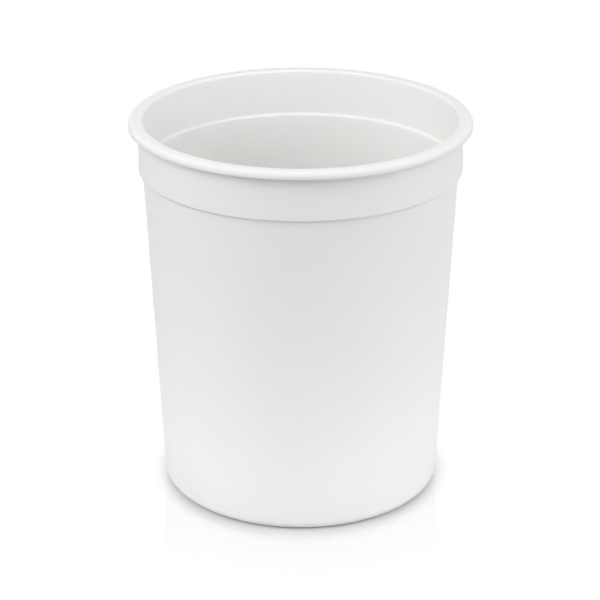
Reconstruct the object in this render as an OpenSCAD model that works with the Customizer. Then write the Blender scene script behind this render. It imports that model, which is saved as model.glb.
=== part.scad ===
// Tapered open head drum: one plastic moulding with a turned-down rim, a plain collar,
// a nesting shoulder, a tapered wall and a pushed-up floor inside a standing ring.
// Millimetres, +Z up, origin at the centre of the plane the drum stands on.

/* [Overall] */
// Height from the floor it stands on to the top of the rim
drum_h = 455.5; // [200:0.5:900]
// Diameter over the rim
rim_d = 400; // [250:0.5:700]

/* [Rim] */
// How far the rim stands out past the top of the collar
rim_reach = 11.8; // [9:0.1:25]
// Outer rounding of the rim
rim_round = 6; // [4.5:0.1:8]
// Height of the lip's straight face under that rounding
lip_land = 2.4; // [0.8:0.1:12]
// Thickness of the lip where it hangs down
lip_t = 3; // [2:0.1:4]
// Thickness of the rim's flat top over its open channel
rim_t = 3.4; // [2.5:0.1:4]
// Rounding of the rim's inner edge, where the mouth begins
mouth_round = 3; // [1:0.1:5]

/* [Collar] */
// Height from the top of the rim to the collar's lower edge
collar_h = 59.5; // [25:0.5:120]
// Thickness of the collar at its top
collar_t = 4.7; // [3:0.1:8]
// How far the collar's outside spreads from its top to its lower edge
collar_flare = 1.2; // [0:0.1:4]
// Rounding of the collar's lower edge
collar_round = 1.5; // [0.4:0.1:2]

/* [Shoulder] */
// How far the shoulder steps in from the collar's lower edge to the wall
shoulder_in = 5; // [4:0.1:15]
// Height of the shoulder's slope
shoulder_h = 3.4; // [3:0.1:15]
// How much thicker the shoulder is than the wall
shoulder_extra = 2.7; // [0.5:0.1:4]

/* [Wall] */
// Thickness of the wall
wall_t = 4.5; // [3:0.1:7]
// Draft of the wall, in degrees from upright
wall_draft = 2.65; // [0.5:0.05:6]

/* [Foot] */
// Outside radius of the heel, where the wall turns into the floor
heel_round = 12; // [8:0.5:25]
// Thickness of the floor
floor_t = 5; // [3:0.1:8]
// Width of the ring that the drum stands on
stand_w = 10; // [5:0.5:25]
// Height that the floor panel is pushed up above the standing plane
push_up = 5; // [3:0.1:12]
// Diameter of the shallow moulding dimple in the middle of the underside
dimple_d = 14; // [8:0.5:30]
// Depth of that dimple
dimple_depth = 0.8; // [0.4:0.1:2]

/* [Hidden] */
$fn = 180;

// Roundings of the moulding's thin edges, of its shallow bends and of its inside corners
edge_round = 0.6;
bend_round = 2;
shoulder_round = 1.5;
// How far the piece cut off a corner reaches past it, so that it cuts cleanly
corner_spare = 1;

// Heights, from the rim down
lip_bottom_z = drum_h - rim_round - lip_land;
channel_top_z = drum_h - rim_t;
collar_bottom_z = drum_h - collar_h;
shoulder_z = collar_bottom_z - shoulder_h;

// Radii, from the rim in
rim_r = rim_d / 2;
collar_top_r = rim_r - rim_reach;
collar_bottom_r = collar_top_r + collar_flare;
mouth_r = collar_top_r - collar_t;
shoulder_r = collar_bottom_r - shoulder_in;

// Radii of the tapered wall's two faces at a height
function wall_outer_r(z) = shoulder_r - (shoulder_z - z) * tan(wall_draft);
function wall_inner_r(z) = wall_outer_r(z) - wall_t / cos(wall_draft);

// The ledge inside runs along the shoulder's slope, at the shoulder's own thickness above it
shoulder_slope = atan(shoulder_h / shoulder_in);
ledge_t = wall_t + shoulder_extra;
function ledge_z(r) = shoulder_z + ledge_t / cos(shoulder_slope)
    + (r - shoulder_r) * tan(shoulder_slope);
ledge_foot_r = wall_inner_r(ledge_z(wall_inner_r(shoulder_z)));

// The standing ring, and the 45 degree rise from it to the floor panel
stand_inner_r = wall_outer_r(0) - heel_round - stand_w;
panel_r = stand_inner_r - push_up;
rise_shift = floor_t * tan(22.5);
floor_z = push_up + floor_t;

function unit(v) = v / norm(v);

// An outline, drawn anticlockwise as [x, z, rounding] corners, with a true arc at each corner
module rounded_outline(corners) {
    count = len(corners);
    function at(i) = [corners[i % count].x, corners[i % count].y];
    function rounding(i) = corners[i].z;
    function back(i) = unit(at(i + count - 1) - at(i));
    function ahead(i) = unit(at(i + 1) - at(i));
    function inward(i) = unit(back(i) + ahead(i));
    function half_angle(i) = acos(back(i) * ahead(i)) / 2;
    function reach(i) = rounding(i) / tan(half_angle(i));
    function arc_centre(i) = at(i) + inward(i) * rounding(i) / sin(half_angle(i));
    function is_hollow(i) = cross(back(i), ahead(i)) > 0;
    // A hollow corner is filled up to the chord of its arc, and the arc is then cut out of it
    function drawn(i) = rounding(i) > 0 && is_hollow(i)
        ? [at(i) + back(i) * reach(i), at(i) + ahead(i) * reach(i)]
        : [at(i)];
    difference() {
        polygon([for (i = [0 : count - 1]) each drawn(i)]);
        for (i = [0 : count - 1]) {
            if (rounding(i) > 0 && is_hollow(i)) {
                translate(arc_centre(i)) circle(rounding(i));
            }
            if (rounding(i) > 0 && !is_hollow(i)) {
                difference() {
                    polygon([
                        at(i) + back(i) * reach(i),
                        at(i) - inward(i) * corner_spare,
                        at(i) + ahead(i) * reach(i)
                    ]);
                    translate(arc_centre(i)) circle(rounding(i));
                }
            }
        }
    }
}

// Half of the drum's upright section, one skin from the middle of the floor to the lip
module shell_profile() {
    rounded_outline([
        // Underside, from the dimple out to the heel
        [0, push_up + dimple_depth, 0],
        [dimple_d / 2, push_up + dimple_depth, 0],
        [dimple_d / 2 + dimple_depth, push_up, 0],
        [panel_r, push_up, bend_round],
        [stand_inner_r, 0, bend_round],
        [wall_outer_r(0), 0, heel_round],
        // Outside: the wall, the shoulder and the collar
        [shoulder_r, shoulder_z, shoulder_round],
        [collar_bottom_r, collar_bottom_z, collar_round],
        // The open channel under the rim, and the lip
        [collar_top_r, channel_top_z, shoulder_round],
        [rim_r - lip_t, channel_top_z, rim_round - rim_t],
        [rim_r - lip_t, lip_bottom_z, edge_round],
        [rim_r, lip_bottom_z, edge_round],
        [rim_r, drum_h, rim_round],
        // Inside: the mouth, the ledge, the wall and the floor
        [mouth_r, drum_h, mouth_round],
        [mouth_r, ledge_z(mouth_r), edge_round],
        [ledge_foot_r, ledge_z(ledge_foot_r), shoulder_round],
        [wall_inner_r(floor_t), floor_t, heel_round - wall_t],
        [stand_inner_r + rise_shift, floor_t, bend_round],
        [panel_r + rise_shift, floor_z, bend_round],
        [0, floor_z, 0]
    ]);
}

module drum_shell() {
    color("whitesmoke")
    rotate_extrude() {
        shell_profile();
    }
}

drum_shell();
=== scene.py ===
import math

import bmesh
import bpy
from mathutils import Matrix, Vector


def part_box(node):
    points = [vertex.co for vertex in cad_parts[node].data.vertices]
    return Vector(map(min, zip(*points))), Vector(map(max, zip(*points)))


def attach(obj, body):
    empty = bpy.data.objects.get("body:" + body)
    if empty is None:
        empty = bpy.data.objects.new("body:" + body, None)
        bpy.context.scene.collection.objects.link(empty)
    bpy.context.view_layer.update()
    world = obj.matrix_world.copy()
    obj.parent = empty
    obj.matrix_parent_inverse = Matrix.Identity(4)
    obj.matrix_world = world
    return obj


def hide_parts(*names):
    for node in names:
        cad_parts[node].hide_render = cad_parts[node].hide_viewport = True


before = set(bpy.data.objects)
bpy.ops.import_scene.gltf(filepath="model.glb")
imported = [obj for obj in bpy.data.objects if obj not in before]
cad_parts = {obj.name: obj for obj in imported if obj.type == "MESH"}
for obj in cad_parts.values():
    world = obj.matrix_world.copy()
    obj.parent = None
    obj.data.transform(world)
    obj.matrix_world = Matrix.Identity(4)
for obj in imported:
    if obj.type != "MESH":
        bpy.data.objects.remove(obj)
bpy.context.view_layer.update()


# --- Camera ---
# A long lens on the drum's own centre line, looking down at the mouth. The places are metres
# in the drum's frame, and the tilt is measured from straight down.

camera_place = (-0.0008, -2.3335, 1.2071)
camera_tilt = math.radians(67.143)
camera_lens = 126.3

camera_data = bpy.data.cameras.new("camera")
camera_data.lens = camera_lens
camera_data.sensor_width = 36.0
camera = bpy.data.objects.new("camera", camera_data)
camera.location = camera_place
camera.rotation_euler = (camera_tilt, 0.0, 0.0)
bpy.context.scene.collection.objects.link(camera)
bpy.context.scene.camera = camera


# --- Drum ---
# The whole drum is one injection moulding of milky white polyethylene. A ring is drawn under
# the floor and walked along the skin, out to the heel, up the wall, over the rim and back down
# inside to the floor, and its corners are then rounded as the mould's are.

cad_low, cad_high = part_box("drum_shell")
drum_top = cad_high.z
rim_radius = (cad_high.x - cad_low.x) / 2

# Thicknesses, steps and roundings of the moulding, in metres
rim_reach, rim_thickness, rim_rounding = 0.0118, 0.0034, 0.006
lip_thickness, lip_drop, mouth_rounding = 0.003, 0.0084, 0.003
collar_height, collar_thickness, collar_flare, collar_rounding = 0.0595, 0.0047, 0.0012, 0.0015
shoulder_height, shoulder_step, shoulder_extra, shoulder_rounding = 0.0034, 0.005, 0.0027, 0.0015
wall_thickness, wall_draft = 0.0045, math.radians(2.65)
heel_rounding, stand_width, bend_rounding, edge_rounding = 0.012, 0.01, 0.002, 0.0006
floor_thickness, push_up = 0.005, 0.005
dimple_radius, dimple_depth, middle_radius = 0.007, 0.0008, 0.02

# Radii across and heights up the skin that follow from them
collar_top_radius = rim_radius - rim_reach
collar_low_radius = collar_top_radius + collar_flare
mouth_radius = collar_top_radius - collar_thickness
collar_low = drum_top - collar_height
shoulder_low = collar_low - shoulder_height
shoulder_radius = collar_low_radius - shoulder_step
shoulder_slope = math.atan2(shoulder_height, shoulder_step)


def outer_wall(height):
    return shoulder_radius - (shoulder_low - height) * math.tan(wall_draft)


def inner_wall(height):
    return outer_wall(height) - wall_thickness / math.cos(wall_draft)


def ledge_height(radius):
    above = (wall_thickness + shoulder_extra) / math.cos(shoulder_slope)
    return shoulder_low + above + (radius - shoulder_radius) * math.tan(shoulder_slope)


stand_inner = outer_wall(0) - heel_rounding - stand_width
panel_radius = stand_inner - push_up
rise_angle = math.radians(45)
rise_shift = floor_thickness * math.tan(rise_angle / 2)
ledge_foot = inner_wall(ledge_height(inner_wall(shoulder_low)))

skin = [
    # (radius, height, rounding)
    (dimple_radius, push_up + dimple_depth, 0),
    (dimple_radius + dimple_depth, push_up, 0),
    (panel_radius, push_up, bend_rounding),
    (stand_inner, 0, bend_rounding),
    (outer_wall(0), 0, heel_rounding),
    (shoulder_radius, shoulder_low, shoulder_rounding),
    (collar_low_radius, collar_low, collar_rounding),
    (collar_top_radius, drum_top - rim_thickness, shoulder_rounding),
    (rim_radius - lip_thickness, drum_top - rim_thickness, rim_rounding - rim_thickness),
    (rim_radius - lip_thickness, drum_top - lip_drop, edge_rounding),
    (rim_radius, drum_top - lip_drop, edge_rounding),
    (rim_radius, drum_top, rim_rounding),
    (mouth_radius, drum_top, mouth_rounding),
    (mouth_radius, ledge_height(mouth_radius), edge_rounding),
    (ledge_foot, ledge_height(ledge_foot), shoulder_rounding),
    (inner_wall(floor_thickness), floor_thickness, heel_rounding - wall_thickness),
    (stand_inner + rise_shift, floor_thickness, bend_rounding),
    (panel_radius + rise_shift, push_up + floor_thickness, bend_rounding),
    (middle_radius, push_up + floor_thickness, 0),
]

points_round = 192
bpy.ops.object.select_all(action="DESELECT")
first_radius, first_height, _ = skin[0]
bpy.ops.mesh.primitive_circle_add(
    vertices=points_round, radius=first_radius, fill_type="NOTHING",
    location=(0, 0, first_height),
)
drum = bpy.context.object
drum.name = "drum_body"
bpy.ops.object.transform_apply(location=True, rotation=True, scale=True)
bpy.ops.object.mode_set(mode="EDIT")
bpy.ops.mesh.select_mode(type="EDGE")
bpy.ops.mesh.select_all(action="SELECT")
for (radius, height, _), (next_radius, next_height, _) in zip(skin, skin[1:]):
    bpy.ops.mesh.extrude_region_move(
        TRANSFORM_OT_translate={"value": (0, 0, next_height - height)}
    )
    grow = next_radius / radius
    bpy.ops.transform.resize(value=(grow, grow, 1), center_override=(0, 0, next_height))


def select_ring(radius, height, slack=1e-5):
    """Selects the edges of one level ring of the skin, and nothing else."""
    bpy.ops.mesh.select_all(action="DESELECT")
    mesh = bmesh.from_edit_mesh(drum.data)
    for edge in mesh.edges:
        edge.select_set(
            all(
                abs(math.hypot(v.co.x, v.co.y) - radius) < slack
                and abs(v.co.z - height) < slack
                for v in edge.verts
            )
        )
    bmesh.update_edit_mesh(drum.data)


# The two small rings at the middle of the floor are closed, each to a point on the axis
for radius, height, _ in (skin[0], skin[-1]):
    select_ring(radius, height)
    bpy.ops.mesh.extrude_region_move()
    bpy.ops.mesh.merge(type="CENTER")

# Every rounded corner is beveled as far back along its two sides as its arc reaches
arc_per_face = math.radians(9)
for before, corner, after in zip(skin, skin[1:], skin[2:]):
    radius, height, rounding = corner
    if rounding == 0:
        continue
    back = Vector(before[:2]) - Vector(corner[:2])
    ahead = Vector(after[:2]) - Vector(corner[:2])
    reach = rounding / math.tan(back.angle(ahead) / 2)
    arc = math.pi - back.angle(ahead)
    select_ring(radius, height)
    bpy.ops.mesh.bevel(
        offset_type="OFFSET", offset=reach, profile=0.5, affect="EDGES",
        segments=max(3, round(arc / arc_per_face)), clamp_overlap=False,
    )

# Level rings are cut up the long walls, so that the light runs evenly over them
merge_distance = 1e-6
bpy.ops.mesh.select_all(action="SELECT")
bpy.ops.mesh.remove_doubles(threshold=merge_distance)
bpy.ops.mesh.normals_make_consistent(inside=False)
ring_count, rings_from, rings_span = 18, 0.014, shoulder_low - 0.018
for i in range(1, ring_count):
    bpy.ops.mesh.select_all(action="SELECT")
    ring_height = rings_from + rings_span * i / ring_count
    bpy.ops.mesh.bisect(plane_co=(0, 0, ring_height), plane_no=(0, 0, 1))
bpy.ops.object.mode_set(mode="OBJECT")
bpy.ops.object.shade_smooth()
weighted = drum.modifiers.new("weighted", "WEIGHTED_NORMAL")
weighted.weight = 100
bpy.ops.object.modifier_apply(modifier="weighted")

white = bpy.data.materials.new("white_polyethylene")
white.use_nodes = True
nodes, links = white.node_tree.nodes, white.node_tree.links
surface = nodes["Principled BSDF"]
surface.inputs["IOR"].default_value = 1.5
surface.inputs["Specular IOR Level"].default_value = 0.15
surface.inputs["Subsurface Weight"].default_value = 0.6
surface.inputs["Subsurface Radius"].default_value = (1, 1, 1)
surface.inputs["Subsurface Scale"].default_value = 0.007
place = nodes.new("ShaderNodeTexCoord").outputs["Object"]
facing = nodes.new("ShaderNodeNewGeometry").outputs["Normal"]


def node(kind, *wires, **settings):
    """Adds a node; a wire is (socket, output or value)."""
    new = nodes.new(kind)
    for name, value in settings.items():
        setattr(new, name, value)
    for socket, value in wires:
        if isinstance(value, bpy.types.NodeSocket):
            links.new(value, new.inputs[socket])
        else:
            new.inputs[socket].default_value = value
    return new


def noise(where, scale, detail=2.0):
    """Noise on a place, with a number of lumps to the metre."""
    wires = ("Vector", where), ("Scale", scale), ("Detail", detail)
    return node("ShaderNodeTexNoise", *wires).outputs["Fac"]


def ramp(value, low, high, to_low=0.0, to_high=1.0):
    """Fades smoothly between two ends."""
    new = node(
        "ShaderNodeMapRange", ("Value", value), ("From Min", low), ("From Max", high),
        ("To Min", to_low), ("To Max", to_high), interpolation_type="SMOOTHSTEP",
    )
    return new.outputs["Result"]


def times(first, second):
    return node("ShaderNodeMath", (0, first), (1, second), operation="MULTIPLY").outputs[0]


def plus(first, second, **settings):
    new = node("ShaderNodeMath", (0, first), (1, second), operation="ADD", **settings)
    return new.outputs[0]


def tinted(share, first, second):
    """Mixes two colours. The Mix node's colour sockets go by number: 6 and 7 in, 2 out."""
    new = node("ShaderNodeMix", (0, share), (6, first), (7, second), data_type="RGBA")
    return new.outputs[2]


def bump(height, depth, below=None):
    """Raises a surface by a height of 0 to 1 times a depth in metres."""
    new = node("ShaderNodeBump", ("Height", height), ("Distance", depth), ("Strength", 1.0))
    if below:
        links.new(below, new.inputs["Normal"])
    return new.outputs["Normal"]


# Satin grain of the mould, slow sink of the thick wall, and draw marks that run up the wall
grain = noise(place, 1300, 3)
sink = noise(place, 24, 1)
drawn = node("ShaderNodeMapping", ("Vector", place), ("Scale", (1, 1, 0.03))).outputs[0]
draw_marks = noise(drawn, 260)

# Turning marks of the mould, ringed round the drum's axis on its level faces
facing_up = node("ShaderNodeSeparateXYZ", ("Vector", facing)).outputs["Z"]
level = node("ShaderNodeMath", (0, facing_up), operation="ABSOLUTE").outputs[0]
rings = node(
    "ShaderNodeTexWave", ("Vector", place), ("Scale", 42), ("Distortion", 0.6), ("Detail", 1),
    wave_type="RINGS", rings_direction="Z",
).outputs["Fac"]
turning = times(rings, ramp(level, 0.97, 0.999))

# Scuffs round the foot, where the drum stands and slides
foot_height = 0.006
height = node("ShaderNodeSeparateXYZ", ("Vector", place)).outputs["Z"]
foot = ramp(height, 0.0, foot_height, 1.0, 0.0)
scratches = ramp(noise(place, 150, 6), 0.5, 0.62)
scuffs = times(foot, scratches)

# The white is a shade creamier in places, and greyer and rougher where it is scuffed
cream_white, milk_white = (0.93, 0.93, 0.911, 1), (0.94, 0.94, 0.923, 1)
scuff_grey, scuff_strength, scuff_roughness = (0.66, 0.65, 0.62, 1), 0.5, 0.2
smoothest, roughest = 0.43, 0.47
tone = tinted(noise(place, 9, 3), cream_white, milk_white)
worn = tinted(times(scuffs, scuff_strength), tone, scuff_grey)
links.new(worn, surface.inputs["Base Color"])
satin = ramp(draw_marks, 0.3, 0.7, smoothest, roughest)
links.new(plus(times(scuffs, scuff_roughness), satin), surface.inputs["Roughness"])

# Depths in metres
sink_depth, draw_depth, turning_depth, grain_depth = 0.00025, 0.00001, 0.00002, 0.000008
relief = bump(sink, sink_depth)
relief = bump(draw_marks, draw_depth, relief)
relief = bump(turning, turning_depth, relief)
relief = bump(grain, grain_depth, relief)
links.new(relief, surface.inputs["Normal"])
drum.data.materials.append(white)

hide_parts("drum_shell")
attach(drum, "root")


# --- Floor ---
# A wide white sweep. The colour it shows to the wall is a painted pool of light beside the drum,
# so that it throws light up the wall, and falls off to grey further out, with painted shade right
# under the drum. To the camera it fades to plain white past the contact shadow, a little sooner
# at the sides.

bpy.ops.object.select_all(action="DESELECT")
bpy.ops.mesh.primitive_plane_add(size=8, location=(0, 0, 0))
floor = bpy.context.object
floor.name = "floor"
floor_white = bpy.data.materials.new("floor_white")
floor_white.use_nodes = True
nodes, links = floor_white.node_tree.nodes, floor_white.node_tree.links
nodes.clear()
place = node("ShaderNodeTexCoord").outputs["Object"]


def off_middle(where):
    """Gives how far a place on the floor is from the middle of the drum."""
    new = node("ShaderNodeVectorMath", (0, where), operation="LENGTH")
    return new.outputs["Value"]


def layered(share, under, over):
    """Lays one shader over another by a share of 0 to 1."""
    return node("ShaderNodeMixShader", (0, share), (1, under.outputs[0]), (2, over.outputs[0]))


# What the wall gets: painted light, white near the drum and dark further out, and painted shade
# right under the drum
distance = off_middle(place)
painted_shade_under_drum = ramp(distance, 0.165, 0.3, 0.65, 1.0)
painted_light_pool_and_shade = times(ramp(distance, 0.35, 0.9, 0.94, 0.05), painted_shade_under_drum)
bounce = node("ShaderNodeBsdfDiffuse", ("Color", painted_light_pool_and_shade))

# What the camera gets: the contact shadow, then plain white, under a thin sheen
shadow_starts, shadow_ends, side_squeeze = 0.17, 0.2, 1.08
sheen_strength, sheen_ends = 0.25, 0.29
lit = node("ShaderNodeBsdfDiffuse", ("Color", (0.8, 0.8, 0.8, 1)))
plain = node("ShaderNodeEmission", ("Strength", 1.0))
narrowed = node(
    "ShaderNodeMapping", ("Vector", place), ("Scale", (side_squeeze, 1, 1))
).outputs[0]
seen = layered(ramp(off_middle(narrowed), shadow_starts, shadow_ends), lit, plain)
sheen = node(
    "ShaderNodeBsdfGlossy", ("Color", (1, 1, 1, 1)), ("Roughness", 0.04), distribution="MULTI_GGX"
)
polished = layered(ramp(distance, shadow_starts, sheen_ends, sheen_strength, 0.0), seen, sheen)


def shown_rays():
    """Is 1 for the rays that show the background: the camera's, and those of gloss and glass."""
    path = node("ShaderNodeLightPath").outputs
    mirrored = plus(path["Is Glossy Ray"], path["Is Transmission Ray"])
    return plus(path["Is Camera Ray"], mirrored, use_clamp=True)


sweep = layered(shown_rays(), bounce, polished)
node("ShaderNodeOutputMaterial", ("Surface", sweep.outputs[0]))
floor.data.materials.append(floor_white)


# --- Light ---
# Six soft boxes round the front and sides of the drum, the strongest high on the front left,
# in a dim room that is brighter overhead and whose backdrop is white.

world = bpy.data.worlds.new("studio")
bpy.context.scene.world = world
world.use_nodes = True
nodes, links = world.node_tree.nodes, world.node_tree.links
nodes.clear()
white_light, level_strength, overhead_strength = (1, 1, 1, 1), 0.24, 0.66
direction = node("ShaderNodeTexCoord").outputs["Generated"]
upward = node("ShaderNodeSeparateXYZ", ("Vector", direction)).outputs["Z"]
room_strength = ramp(upward, 0, 1, level_strength, overhead_strength)
room = node("ShaderNodeBackground", ("Color", white_light), ("Strength", room_strength))
backdrop = node("ShaderNodeBackground", ("Color", white_light), ("Strength", 1.0))
studio = layered(shown_rays(), room, backdrop)
node("ShaderNodeOutputWorld", ("Surface", studio.outputs[0]))

# Each lamp's place and width in metres, and its power in watts
for name, lamp_place, lamp_size, power in (
    ("key", (-1.5, -1.5, 2.0), 1.6, 20.4),
    ("front", (0.0, -2.8, 1.4), 1.6, 10.2),
    ("left", (-2.13, -0.57, 1.2), 1.6, 13.4),
    ("right", (2.13, -0.57, 1.2), 1.6, 14.8),
    ("right_front", (1.7, -1.7, 1.4), 1.6, 5.6),
    ("right_low", (2.13, -0.57, 0.45), 0.8, 5.1),
):
    lamp_data = bpy.data.lights.new(name, "AREA")
    lamp_data.shape = "SQUARE"
    lamp_data.size = lamp_size
    lamp_data.energy = power
    lamp = bpy.data.objects.new(name, lamp_data)
    lamp.location = lamp_place
    aim = Vector((0, 0, drum_top / 2)) - Vector(lamp_place)
    lamp.rotation_euler = aim.to_track_quat("-Z", "Y").to_euler()
    lamp.visible_camera = False
    bpy.context.scene.collection.objects.link(lamp)

bpy.context.scene.view_settings.view_transform = "Standard"
